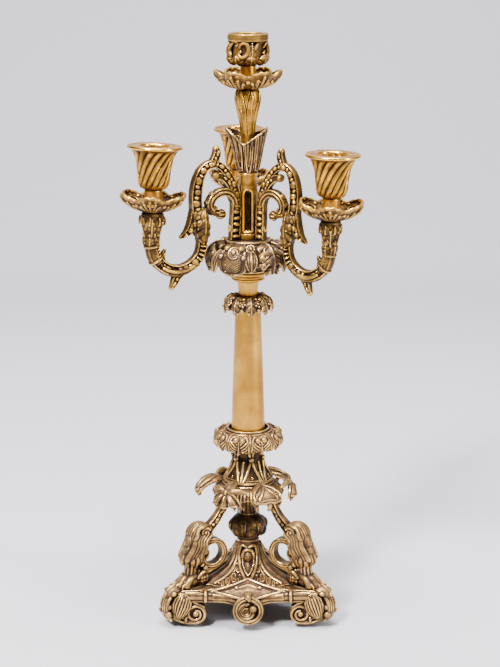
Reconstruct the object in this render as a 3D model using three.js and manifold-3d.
// A four-light brass candelabra: a three-sided base on scroll feet, three lion-paw legs, a tapered
// column and three scrolled arms round a centre light, all clamped on one threaded tie rod.
// Millimetres, +Z up. The origin is on the tie rod's axis at table level, and the front is -Y.
// An azimuth is measured from the front towards +X, so the arms stand at -60, 60 and about 180.
import * as THREE from "three";
import { mergeVertices } from "three/addons/utils/BufferGeometryUtils.js";
import Module from "manifold-3d";

const wasm = await Module();
wasm.setup();

// ---------------------------------------------------------------- driving dimensions
const GAP = 0.3; // clearance between pieces that touch
const ROD = 3; // tie rod radius
const BORE = 3.5; // hole for the tie rod in every piece of the stack
const ROD_END = 2; // height of the tie rod's lower end
const ROD_TOP = 399.5;

// heights of the stack, each piece standing on the one before
const PLATE_TOP = 27.5;
const PEDESTAL_TOP = 63;
const KNOP_TOP = 82;
const NECK_TOP = 150; // top of the canopy's neck
const COLUMN_FOOT = 153.4;
const COLUMN_TOP = 262;
const COUPLING_FOOT = 264.6;
const COUPLING_TOP = 290;
const CAPITAL_TOP = 316;
const STEM_TOP = 370;
const BUD_FOOT = 384.3;
const BUD_TOP = 436;
const HEIGHT = 480; // rim of the top cup

const SIDE = 42.5; // distance from the axis to a side of the base
const CORNER = 74; // radius of the base plate's corners
const FOOT_TOP = 18.7; // the feet meet the plate's rim here
const PAW = 56.5; // radius of the circle of paws
const RING = { r: 35.6, z: 53.7, outer: 13.4, inner: 8.7, width: 9 }; // scroll beside each leg

const CUP_RADIUS = 83; // circle of the arm cups
const SCREW_HEIGHT = 326; // each arm is screwed to the stem here
const SOCKET_TOP = 340.5; // top face of an arm, which the drip pan sits on
const STUD = 3; // radius of the threaded stud under each cup
const STUD_HOLE = 3.4;
const THREAD = 6; // length of the stud that screws into its seat

const LEGS = { left: -60, right: 60, back: 180 };
const SIDES = { front: 0, right: 120, left: -120 };
// azimuth, tilt that raises the outer end, and reach of each arm, as bent and fitted by hand
const ARMS = {
  left: { azimuth: -62.5, tilt: 3, reach: 1.035 },
  right: { azimuth: 55.5, tilt: -1.5, reach: 0.925 },
  back: { azimuth: -175, tilt: 1.5, reach: 1 },
};
const ARM_FOOT = { r: 12.8, z: 316.6 }; // the point each arm is bent about

// ---------------------------------------------------------------- materials
const brass = (color, roughness) =>
  new THREE.MeshStandardMaterial({ color, roughness, metalness: 1 });
const MATERIALS = {
  satin: brass("#c79a4e", 0.38), // turned and brushed surfaces
  antique: brass("#9a7238", 0.45), // chased surfaces with dark hollows
  polished: brass("#dcb45f", 0.25),
  steel: new THREE.MeshStandardMaterial({ color: "#7d7f82", roughness: 0.4, metalness: 1 }),
};

// ---------------------------------------------------------------- shape helpers
const radians = THREE.MathUtils.degToRad;

// A closed geometry as a manifold solid, with its faces turned outwards.
function solid(geometry) {
  const bare = geometry.index ? geometry.toNonIndexed() : geometry.clone();
  for (const name of Object.keys(bare.attributes)) {
    if (name !== "position") bare.deleteAttribute(name);
  }
  const merged = mergeVertices(bare, 1e-3);
  const vertProperties = merged.attributes.position.array;
  const triVerts = new Uint32Array(merged.index.array);
  const make = () => new wasm.Manifold(new wasm.Mesh({ numProp: 3, vertProperties, triVerts }));
  const made = make();
  if (made.volume() > 0) return made;
  for (let i = 0; i < triVerts.length; i += 3) {
    [triVerts[i], triVerts[i + 1]] = [triVerts[i + 1], triVerts[i]];
  }
  return make();
}

// A manifold solid as a three.js geometry.
function geometryOf(manifold) {
  const mesh = manifold.getMesh();
  const position = new Float32Array(mesh.numVert * 3);
  for (let i = 0; i < mesh.numVert; i++) {
    position.set(mesh.vertProperties.subarray(i * mesh.numProp, i * mesh.numProp + 3), i * 3);
  }
  const geometry = new THREE.BufferGeometry();
  geometry.setAttribute("position", new THREE.BufferAttribute(position, 3));
  geometry.setIndex(new THREE.BufferAttribute(mesh.triVerts, 1));
  return geometry;
}

const join = (...parts) => geometryOf(parts.map(solid).reduce((a, b) => a.add(b)));
const cut = (body, ...tools) =>
  geometryOf(tools.map(solid).reduce((a, b) => a.subtract(b), solid(body)));

// A profile of [radius, height] points turned about +Z. It starts and ends on the axis or closes
// on itself. warp(r, z, azimuth) may move each point to another [r, z].
function turned(profile, segments, warp) {
  const points = profile.map(([r, z]) => new THREE.Vector2(r, z));
  const geometry = new THREE.LatheGeometry(points, segments).rotateX(Math.PI / 2);
  if (!warp) return geometry;
  const at = geometry.attributes.position;
  for (let i = 0; i < at.count; i++) {
    const [x, y] = [at.getX(i), at.getY(i)];
    const r = Math.hypot(x, y);
    if (r < 1e-6) continue;
    const [toR, toZ] = warp(r, at.getZ(i), Math.atan2(x, -y));
    at.setXYZ(i, (x / r) * toR, (y / r) * toR, toZ);
  }
  return geometry;
}

const closed = (profile) => [...profile, profile[0]];
const disc = (r, low, high) => [[0, low], [r, low], [r, high], [0, high]];
const tube = (inner, outer, low, high) =>
  closed([[inner, low], [outer, low], [outer, high], [inner, high]]);
const cylinder = (r, low, high, segments = 16) => turned(disc(r, low, high), segments);

// A cylinder of radius r along local X, from x0 to x1 at height z.
const crossbar = (r, x0, x1, z, segments = 12) =>
  cylinder(r, x0, x1, segments).rotateY(Math.PI / 2).translate(0, 0, z);

// A strand in the local XZ plane through points [x, z, half width in the plane, half width across
// it], with an oval section of `sides` sides and flat ends.
function strand(points, steps, sides = 8) {
  const path = new THREE.CatmullRomCurve3(points.map(([x, z]) => new THREE.Vector3(x, 0, z)));
  const sizes = new THREE.CatmullRomCurve3(points.map(([, , a, b]) => new THREE.Vector3(a, b, 0)));
  const position = [];
  for (let i = 0; i <= steps; i++) {
    const centre = path.getPoint(i / steps);
    const along = path.getTangent(i / steps);
    const size = sizes.getPoint(i / steps);
    for (let k = 0; k < sides; k++) {
      const turn = (2 * Math.PI * (k + 0.5)) / sides;
      const inPlane = size.x * Math.cos(turn);
      position.push(
        centre.x - along.z * inPlane,
        size.y * Math.sin(turn),
        centre.z + along.x * inPlane,
      );
    }
  }
  const index = [];
  for (let i = 0; i < steps; i++) {
    for (let k = 0; k < sides; k++) {
      const [a, b] = [i * sides + k, i * sides + ((k + 1) % sides)];
      index.push(a, b, b + sides, a, b + sides, a + sides);
    }
  }
  for (let k = 1; k < sides - 1; k++) {
    index.push(0, k + 1, k, steps * sides, steps * sides + k, steps * sides + k + 1);
  }
  const geometry = new THREE.BufferGeometry();
  geometry.setAttribute("position", new THREE.Float32BufferAttribute(position, 3));
  geometry.setIndex(index);
  return geometry;
}

// An egg of half sizes a, b, c centred at local [x, 0, z], leaning by `lean` degrees about Y.
const egg = (x, z, [a, b, c], lean = 0) =>
  new THREE.SphereGeometry(1, 8, 5)
    .scale(a, b, c)
    .rotateY(radians(lean))
    .translate(x, 0, z);

// Everything below height z, as a large block for cutting a flat foot.
const below = (z) => new THREE.BoxGeometry(400, 400, 100).translate(0, 0, z - 50);

// 0 on the middle of each side of the base and 1 over its corners.
const towardsCorner = (azimuth) => (1 - Math.cos(3 * azimuth)) / 2;

// A group whose local +X points along an azimuth, holding named meshes.
function placed(azimuth, ...meshes) {
  const group = new THREE.Group();
  group.rotation.z = radians(azimuth - 90);
  if (meshes.length) group.add(...meshes);
  return group;
}

function piece(name, geometry, material = MATERIALS.antique) {
  const mesh = new THREE.Mesh(geometry, material);
  mesh.name = name;
  return mesh;
}

// ---------------------------------------------------------------- base
// The plate's outline: nearly straight sides with a slight bulge in the middle, and blunt corners.
function plateRadius(azimuth) {
  const third = (2 * Math.PI) / 3;
  const offSide = Math.abs(azimuth - third * Math.round(azimuth / third));
  const bulge = 3 * Math.exp(-((offSide / radians(14)) ** 2));
  return Math.min((SIDE + bulge) / Math.cos(offSide), CORNER);
}

function basePlate() {
  const rim = 5; // width of the rim under the plate
  const profile = closed([
    [BORE, 23], [0.9, 23], [0.9, 19], [1, 19], [1.02, 23], [1, PLATE_TOP], [BORE, PLATE_TOP],
  ]);
  const plate = turned(profile, 48, (r, z, azimuth) => {
    if (r > 1.1) return [r, z];
    const edge = plateRadius(azimuth);
    if (r < 0.95) return [edge - rim, z];
    return [edge + (r > 1.01 ? 0.8 : 0), z];
  });
  const holes = Object.values(LEGS).map((azimuth) =>
    cylinder(2.4, 10, 40, 10).translate(PAW, 0, 0).rotateZ(radians(azimuth - 90)),
  );
  return piece("base_plate", cut(plate, ...holes));
}

// One wing of a corner foot in its own XZ plane, X running from the corner along the side: a
// C-scroll that ends in a round volute.
function footWing() {
  const volute = { x: 23.8, z: 9, r: 9 };
  const wing = new THREE.Shape();
  wing.moveTo(-3, 15);
  wing.quadraticCurveTo(-1, 3, 9, 1);
  wing.quadraticCurveTo(12, 0, 16, 0);
  wing.lineTo(volute.x, 0);
  wing.absarc(volute.x, volute.z, volute.r, -Math.PI / 2, radians(150), false);
  wing.lineTo(16, FOOT_TOP);
  wing.lineTo(-2, FOOT_TOP);
  const thickness = 8;
  return new THREE.ExtrudeGeometry(wing, { depth: thickness, bevelEnabled: false, curveSegments: 6 })
    .rotateX(Math.PI / 2)
    .translate(0, thickness / 2, 0);
}

function cornerFoot(name) {
  const cornerR = 81; // where the two wings meet
  // local +X is outwards, and a wing runs back along its side at 30 degrees to the radius
  const wings = [1, -1].map((side) =>
    footWing()
      .rotateZ(radians(180 - side * 30))
      .translate(cornerR, 0, 0)
      .translate(-4 * Math.cos(radians(60)), side * 2, 0),
  );
  const block = egg(cornerR - 7, 12, [7, 8.5, 11]);
  const lip = egg(cornerR - 5, 18, [5.5, 9.5, 9.5]);
  const body = cut(join(...wings, block, lip), below(0));
  // room for the plate's corner, which the foot stands round
  const room = turned(disc(1, FOOT_TOP, 60), 60, (r, z, azimuth) => [
    plateRadius(azimuth) + 0.8 + GAP, z,
  ]).rotateZ(radians(90 - LEGS[name]));
  return piece(`corner_foot_${name}`, cut(body, room));
}

function sideScroll(name) {
  const r = 12.2;
  const depth = 7;
  const out = plateRadius(0) + 0.8 + GAP;
  const medallion = cylinder(r, out, out + depth, 24).rotateY(Math.PI / 2).translate(0, 0, 15.5);
  return piece(`side_scroll_${name}`, medallion);
}

function pedestal() {
  const foot = PLATE_TOP + GAP;
  // [height, radius on a side, radius over a corner]
  const levels = [
    [foot, 38, 44], [30.5, 31, 38], [34, 22, 30], [40, 14.5, 19.5], [48, 10.8, 12.8], [55, 9.3, 9.8],
    [PEDESTAL_TOP, 8.8, 8.8],
  ];
  const profile = closed([
    ...levels.map(([z, r]) => [r, z]), [BORE, PEDESTAL_TOP], [BORE, foot],
  ]);
  const body = turned(profile, 36, (r, z, azimuth) => {
    const level = levels.find(([h, side]) => Math.abs(h - z) < 1e-3 && Math.abs(side - r) < 1e-3);
    if (!level) return [r, z];
    return [r + (level[2] - r) * towardsCorner(azimuth) ** 2, z];
  });
  return piece("pedestal", body);
}

function knop() {
  const foot = PEDESTAL_TOP + GAP;
  const profile = closed([
    [BORE, foot], [8, foot], [12, 65.5], [14.8, 69], [15.4, 73], [13.6, 77.5], [10, 80.5],
    [7, KNOP_TOP], [BORE, KNOP_TOP],
  ]);
  const body = turned(profile, 27, (r, z, azimuth) =>
    r < 8 ? [r, z] : [r * (1 + 0.04 * Math.cos(9 * azimuth)), z],
  );
  return piece("knop", body);
}

const flutedStem = () =>
  piece("fluted_stem", turned(tube(BORE, 6.2, KNOP_TOP + GAP, 124), 24));

// ---------------------------------------------------------------- legs
function leg(name) {
  const limb = strand(
    [
      [22.4, 100.5, 2.2, 3.2], [24.5, 93, 2.9, 3.7], [30, 84, 3.2, 4], [38.3, 75.6, 4.4, 4.8],
      [47.5, 69.5, 6.2, 6.5], [53, 62.5, 8.2, 7.4], [54.4, 54, 8.2, 6.4], [54.8, 46, 4.8, 5],
      [55.6, 37, 4.8, 5.5], [56.5, 30, 6, 7],
    ],
    13,
    7,
  );
  const ring = turned(tube(RING.inner, RING.outer, -RING.width / 2, RING.width / 2), 20)
    .rotateX(Math.PI / 2)
    .translate(RING.r, 0, RING.z);
  const curl = strand([[46, 48, 2.2, 3.5], [42.5, 50.5, 1.9, 3], [39.5, 55, 2.4, 3]], 3, 6);
  const leaf = egg(50.5, 75, [13, 7, 4], 32);
  const paw = egg(59.3, 32.5, [10, 8.5, 6]);
  const rock = egg(46.5, 34.5, [7, 6.5, 7.5]);
  const screwHole = cylinder(2.4, 20, 42, 10).translate(PAW, 0, 0);
  const whole = join(limb, ring, curl, leaf, paw, rock);
  const mesh = piece(`paw_leg_${name}`, cut(whole, below(PLATE_TOP + GAP), screwHole));
  const screw = join(cylinder(2, 21, 41, 10), cylinder(3.8, 20, 22.6, 10)).translate(PAW, 0, 0);
  return placed(LEGS[name], mesh, piece(`leg_screw_${name}`, screw, MATERIALS.steel));
}

// ---------------------------------------------------------------- canopy and column
// Six drops hang from the canopy's edge, at 28 degrees either side of the middle of each side.
function nearDrop(azimuth) {
  const third = (2 * Math.PI) / 3;
  const offSide = Math.abs(azimuth - third * Math.round(azimuth / third));
  return Math.exp(-(((offSide - radians(28)) / radians(11)) ** 2));
}

function canopy() {
  // [height, radius, how far a drop pulls it out, how far a drop pulls it down]
  const skin = 2.2;
  const outer = [
    [NECK_TOP, 11.5, 0, 0], [131, 11.6, 0, 0], [126, 13.6, 0, 0], [119, 18, 0, 0],
    [114.5, 22.8, 0, 0], [111, 23, 0, 0], [106, 25.5, 7, 1], [101.5, 27, 14, 6],
  ];
  const inner = outer
    .slice(1)
    .reverse()
    .map(([z, r, out, down]) => [z - (r > 26.5 ? 0 : skin), r - skin, out, down]);
  const levels = [...outer, ...inner];
  const profile = closed([
    ...levels.map(([z, r]) => [r, z]), [7.5, 126.5], [BORE, 126.5], [BORE, NECK_TOP],
  ]).reverse();
  const body = turned(profile, 36, (r, z, azimuth) => {
    const level = levels.find(([h, at]) => Math.abs(h - z) < 1e-3 && Math.abs(at - r) < 1e-3);
    if (!level) return [r, z];
    const near = nearDrop(azimuth);
    return [r + level[2] * near, z - level[3] * near];
  });
  return piece("canopy", body);
}

function acanthusCollar() {
  const leaves = 12;
  const profile = closed([
    [BORE, NECK_TOP + GAP], [13, NECK_TOP + GAP], [21, 147], [25, 143.2], [27, 142.2], [28.4, 146],
    [27.4, 150.8], [23.5, 155.5], [17.6, 157.6], [15.4, COLUMN_FOOT - GAP], [BORE, COLUMN_FOOT - GAP],
  ]);
  const body = turned(profile, 36, (r, z, azimuth) => {
    if (r < 20) return [r, z];
    const lobe = Math.cos(leaves * azimuth);
    return z < 144 ? [r, z + 1.2 * lobe] : [r * (1 + 0.015 * lobe), z];
  });
  return piece("acanthus_collar", body);
}

function column() {
  const [foot, top] = [14, 10.4]; // outer radii
  const wall = 2;
  const profile = closed([
    [foot - wall, COLUMN_FOOT], [foot, COLUMN_FOOT], [top, COLUMN_TOP], [top - wall, COLUMN_TOP],
  ]);
  return piece("column", turned(profile, 36), MATERIALS.satin);
}

function floralCollar() {
  const floor = COLUMN_TOP + GAP;
  const profile = closed([
    [BORE, floor], [11.4, floor], [16, 260.8], [18.6, 257.5], [21, 259.5], [20.6, 263.5],
    [16.5, 269.5], [12.6, 271], [10.2, 268], [9.4, COUPLING_FOOT - GAP],
    [BORE, COUPLING_FOOT - GAP],
  ]);
  const body = turned(profile, 30, (r, z, azimuth) =>
    r > 17 ? [r * (1 + 0.03 * Math.cos(10 * azimuth)), z + 0.8 * Math.cos(10 * azimuth)] : [r, z],
  );
  return piece("floral_collar", body);
}

function coupling() {
  const profile = closed([
    [BORE, COUPLING_FOOT], [8, COUPLING_FOOT], [8.1, 270], [8.8, 271.2], [9.6, 276],
    [11.4, 281.6], [15, 282], [16, 284], [15.2, 286], [17.4, 287.5], [17.4, COUPLING_TOP],
    [BORE, COUPLING_TOP],
  ]);
  return piece("coupling", turned(profile, 24), MATERIALS.satin);
}

function capital() {
  const profile = closed([
    [BORE, COUPLING_TOP + GAP], [18.5, COUPLING_TOP + GAP], [22, 292], [25.5, 289.5], [28.8, 292],
    [30.2, 297.5], [28.8, 302.5], [24.5, 308], [19.5, 312], [18.6, CAPITAL_TOP], [BORE, CAPITAL_TOP],
  ]);
  const body = turned(profile, 36, (r, z, azimuth) => {
    if (r < 20) return [r, z];
    const lobe = Math.cos(9 * azimuth);
    return z < 293 ? [r, z + 1.6 * lobe] : [r * (1 + 0.03 * lobe), z];
  });
  return piece("capital", body);
}

// ---------------------------------------------------------------- centre stem and its light
function centreStem() {
  const profile = closed([
    [BORE, CAPITAL_TOP + GAP], [8, CAPITAL_TOP + GAP], [8, 322], [7.7, 323], [7.7, 357], [6.9, 362],
    [7.3, 366.5], [8.2, STEM_TOP], [BORE, STEM_TOP],
  ]);
  // arched recesses between the arms
  const arch = new THREE.Shape();
  arch.moveTo(-3, 324);
  arch.lineTo(3, 324);
  arch.lineTo(3, 353);
  arch.absarc(0, 353, 3, 0, Math.PI, false);
  const recesses = Object.values(SIDES).map((azimuth) =>
    new THREE.ExtrudeGeometry(arch, { depth: 6, bevelEnabled: false, curveSegments: 6 })
      .rotateX(Math.PI / 2)
      .translate(0, -5.4, 0)
      .rotateZ(radians(azimuth)),
  );
  const screwHoles = Object.values(ARMS).map(({ azimuth }) =>
    crossbar(1.8, 4.4, 9, SCREW_HEIGHT).rotateZ(radians(azimuth - 90)),
  );
  const body = cut(turned(profile, 24), ...recesses, ...screwHoles);
  return piece("centre_stem", body, MATERIALS.satin);
}

function calyx() {
  const foot = STEM_TOP + GAP;
  const profile = closed([
    [BORE, foot], [8.2, foot], [10, 375], [11.6, 385], [12.8, 394], [14, 402], [13, 402.3],
    [11.5, 394], [10.2, 384], [BORE, 384],
  ]);
  // the rim rises to three points and falls to three notches, one of them just left of the front
  const body = turned(profile, 30, (r, z, azimuth) => {
    if (z < 390) return [r, z];
    const point = -Math.cos(3 * (azimuth + radians(16)));
    return [r, z + (z > 400 ? 4.5 : 1) * point];
  });
  return piece("calyx", body);
}

function bud() {
  const boreTop = 400.5;
  const profile = [
    [0, boreTop], [BORE, boreTop], [BORE, BUD_FOOT], [5.4, BUD_FOOT], [5.4, 405], [6.6, 411.5],
    [8.4, 419.5], [10.3, 428], [9.4, 434], [8.4, BUD_TOP], [STUD_HOLE, BUD_TOP],
    [STUD_HOLE, BUD_TOP - THREAD - 1], [0, BUD_TOP - THREAD - 1],
  ];
  return piece("bud", turned(profile, 24), MATERIALS.polished);
}

// ---------------------------------------------------------------- candle cups
// A wavy drip pan whose hub stands at `foot`, with `size` as its radius.
function dripPan(name, foot, size, depth) {
  const at = (share) => size * share;
  const floor = foot + 3.2;
  const profile = closed([
    [STUD_HOLE, foot], [9.2, foot], [at(0.78), foot + depth * 0.4], [at(0.97), foot + depth * 0.86],
    [at(0.97), foot + depth], [at(0.8), foot + depth * 0.72], [9, floor], [STUD_HOLE, floor],
  ]);
  const body = turned(profile, 30, (r, z, azimuth) => {
    if (r < 10) return [r, z];
    const lobe = Math.cos(6 * azimuth);
    return [r * (1 + 0.04 * lobe), z - (r / size) * 1.2 * lobe];
  });
  return piece(name, body);
}

// The pieces that stand on `seat`: drip pan, washer, sleeve, stud and the cup itself.
function candleHolder(name, seat, { pan, sleeve, cup, material }) {
  const foot = seat + GAP;
  const washerFoot = foot + 3.2 + GAP;
  const sleeveFoot = washerFoot + 0.8 + GAP;
  const group = new THREE.Group();
  group.add(
    dripPan(`drip_pan_${name}`, foot, pan.size, pan.depth),
    piece(`washer_${name}`, turned(tube(STUD_HOLE, 5.6, washerFoot, washerFoot + 0.8), 16),
      MATERIALS.steel),
    piece(`sleeve_${name}`, turned(tube(STUD_HOLE, sleeve.r, sleeveFoot, sleeve.top), 20),
      MATERIALS.satin),
    piece(`stud_${name}`, cylinder(STUD, seat - THREAD, sleeve.top + 4.5, 12), MATERIALS.steel),
    piece(`candle_cup_${name}`, turned(cup, 22), material),
  );
  return group;
}

// The arm cups are trumpet shaped with a thin flat flange, and take a standard 22 mm candle.
function trumpetCup(seat) {
  const at = (z) => seat + z;
  return [
    [0, at(23.4)], [STUD_HOLE, at(23.4)], [STUD_HOLE, at(18.4)], [8, at(18.4)], [11.2, at(21)],
    [12.3, at(26)], [13.2, at(33.5)], [15.2, at(41)], [18.7, at(49.6)], [21.9, at(50.2)],
    [21.9, at(52.5)], [12.4, at(52.5)], [11.6, at(27)], [0, at(27)],
  ];
}

function topCup() {
  return [
    [0, 460], [STUD_HOLE, 460], [STUD_HOLE, 455.3], [7, 455.3], [13, 457.5], [14.7, 461],
    [13.4, 467], [14.4, 474], [16.1, 474.4], [16.1, HEIGHT], [12.9, HEIGHT], [12.2, 462.5],
    [0, 462.5],
  ];
}

const topLight = () =>
  candleHolder("top", BUD_TOP, {
    pan: { size: 26.6, depth: 12.5 },
    sleeve: { r: 6.3, top: 455 },
    cup: topCup(),
    material: MATERIALS.antique,
  });

// ---------------------------------------------------------------- arms
function armBody() {
  const scroll = strand(
    [
      [12.8, 316.6, 4.3, 4.3], [12.8, 332, 4.3, 4.3], [12.9, 346, 4.2, 4.3], [14.6, 357, 3.8, 4],
      [20, 367.5, 3.4, 3.8], [28, 376, 3.2, 3.8], [36, 377.8, 3.4, 4], [43.5, 372, 4, 4.4],
      [47.2, 360, 4.8, 4.8], [47.2, 346, 5, 5], [44.2, 332, 5, 5], [41, 318, 4.2, 4.6],
      [42.5, 305.5, 4.2, 4.4], [50, 297, 4.4, 4.4], [61, 293.5, 4.6, 4.6], [72, 296.5, 4.8, 4.8],
      [80, 304.5, 5.2, 5.2], [CUP_RADIUS, 316, 5.8, 5.8], [CUP_RADIUS, 330, 6.6, 6.6],
    ],
    25,
    6,
  );
  const spur = strand([[46, 335, 4, 4], [50.5, 325, 3.2, 4], [58.5, 319.5, 1, 2.4]], 3, 5);
  const tip = strand([[33, 377, 3, 3], [30.4, 384.5, 2.6, 3], [34, 391, 1.3, 2.6]], 3, 5);
  const twig = strand([[17, 358, 3, 3.2], [24, 366.4, 2.6, 3], [31.5, 369, 1.8, 2.4]], 3, 5);
  const hook = strand(
    [[14, 349, 2.6, 3.4], [20, 353.6, 2.6, 3.4], [27, 354.2, 2.4, 3.2], [33, 350, 2.2, 3],
      [35, 342.5, 1.8, 2.8]],
    7, 5,
  );
  const branch = strand([[45, 339.5, 2.8, 3.4], [36, 339, 2.2, 3], [26.5, 337.5, 2, 2.6]], 3, 5);
  const ball = egg(25.2, 337.4, [3.7, 3.7, 3.7]);
  const jointLeaf = egg(38.6, 322, [4, 5.6, 9], -8);
  const underLeaf = strand([[60, 292, 3.6, 4], [61.5, 286.5, 3.4, 4], [64, 280.5, 2.4, 3]], 3, 5);
  const elbowTip = strand([[69, 296.5, 3, 4], [72.5, 302.5, 2.6, 3.6], [71, 310, 1.2, 2.6]], 3, 5);
  const socket = turned(
    [[0, 322], [6.2, 322], [7.2, 328], [9.6, 332], [9.4, 337], [8.4, SOCKET_TOP], [0, SOCKET_TOP]],
    12,
  ).translate(CUP_RADIUS, 0, 0);
  const whole = join(
    scroll, spur, tip, twig, hook, branch, ball, jointLeaf, underLeaf, elbowTip, socket,
  );
  const studHole = cylinder(STUD_HOLE, SOCKET_TOP - THREAD - 1, SOCKET_TOP + 10, 12);
  return cut(whole, studHole.translate(CUP_RADIUS, 0, 0));
}

function arm(name, body) {
  const { azimuth, tilt, reach } = ARMS[name];
  const lean = (geometry) =>
    geometry.rotateY(radians(-tilt)).translate(ARM_FOOT.r, 0, ARM_FOOT.z);
  const bent = lean(
    body.clone().translate(-ARM_FOOT.r, 0, -ARM_FOOT.z).scale(reach, 1, 1),
  );
  // the foot and the side against the stem are filed true, and the screw's hole is drilled level
  const filed = cut(
    bent,
    cylinder(22, 300, CAPITAL_TOP + GAP, 24),
    cylinder(8 + GAP, 300, 362, 36),
    crossbar(1.8, 5, 25, SCREW_HEIGHT),
    crossbar(3.4, 14.6, 30, SCREW_HEIGHT),
  );
  const screw = join(
    crossbar(1.5, 5, 17, SCREW_HEIGHT),
    crossbar(3, 14.8, 17, SCREW_HEIGHT),
  );
  const holder = candleHolder(name, SOCKET_TOP, {
    pan: { size: 25.4, depth: 13 },
    sleeve: { r: 7, top: SOCKET_TOP + 18 },
    cup: trumpetCup(SOCKET_TOP),
    material: MATERIALS.satin,
  });
  const seat = (CUP_RADIUS - ARM_FOOT.r) * reach;
  for (const mesh of holder.children) lean(mesh.geometry.translate(seat, 0, -ARM_FOOT.z));
  return placed(
    azimuth,
    piece(`arm_${name}`, filed),
    piece(`arm_screw_${name}`, screw, MATERIALS.steel),
    holder,
  );
}

// ---------------------------------------------------------------- fasteners on the axis
const tieRod = () => piece("tie_rod", cylinder(ROD, ROD_END, ROD_TOP, 16), MATERIALS.steel);

const baseWasher = () => piece("base_washer", turned(tube(BORE, 11, 20.7, 22.7), 20),
  MATERIALS.steel);

const baseNut = () => piece("base_nut", turned(tube(BORE, 6.4, 14.4, 20.4), 6), MATERIALS.steel);

// ---------------------------------------------------------------- assembly
const candelabra = new THREE.Group();
candelabra.add(tieRod(), baseWasher(), baseNut(), basePlate(), pedestal(), knop(), flutedStem());
for (const name of Object.keys(LEGS)) {
  candelabra.add(placed(LEGS[name], cornerFoot(name)), leg(name));
}
for (const name of Object.keys(SIDES)) candelabra.add(placed(SIDES[name], sideScroll(name)));
candelabra.add(canopy(), acanthusCollar(), column(), floralCollar(), coupling(), capital());
candelabra.add(centreStem(), calyx(), bud(), topLight());
const armShape = armBody();
for (const name of Object.keys(ARMS)) candelabra.add(arm(name, armShape));

export default candelabra;
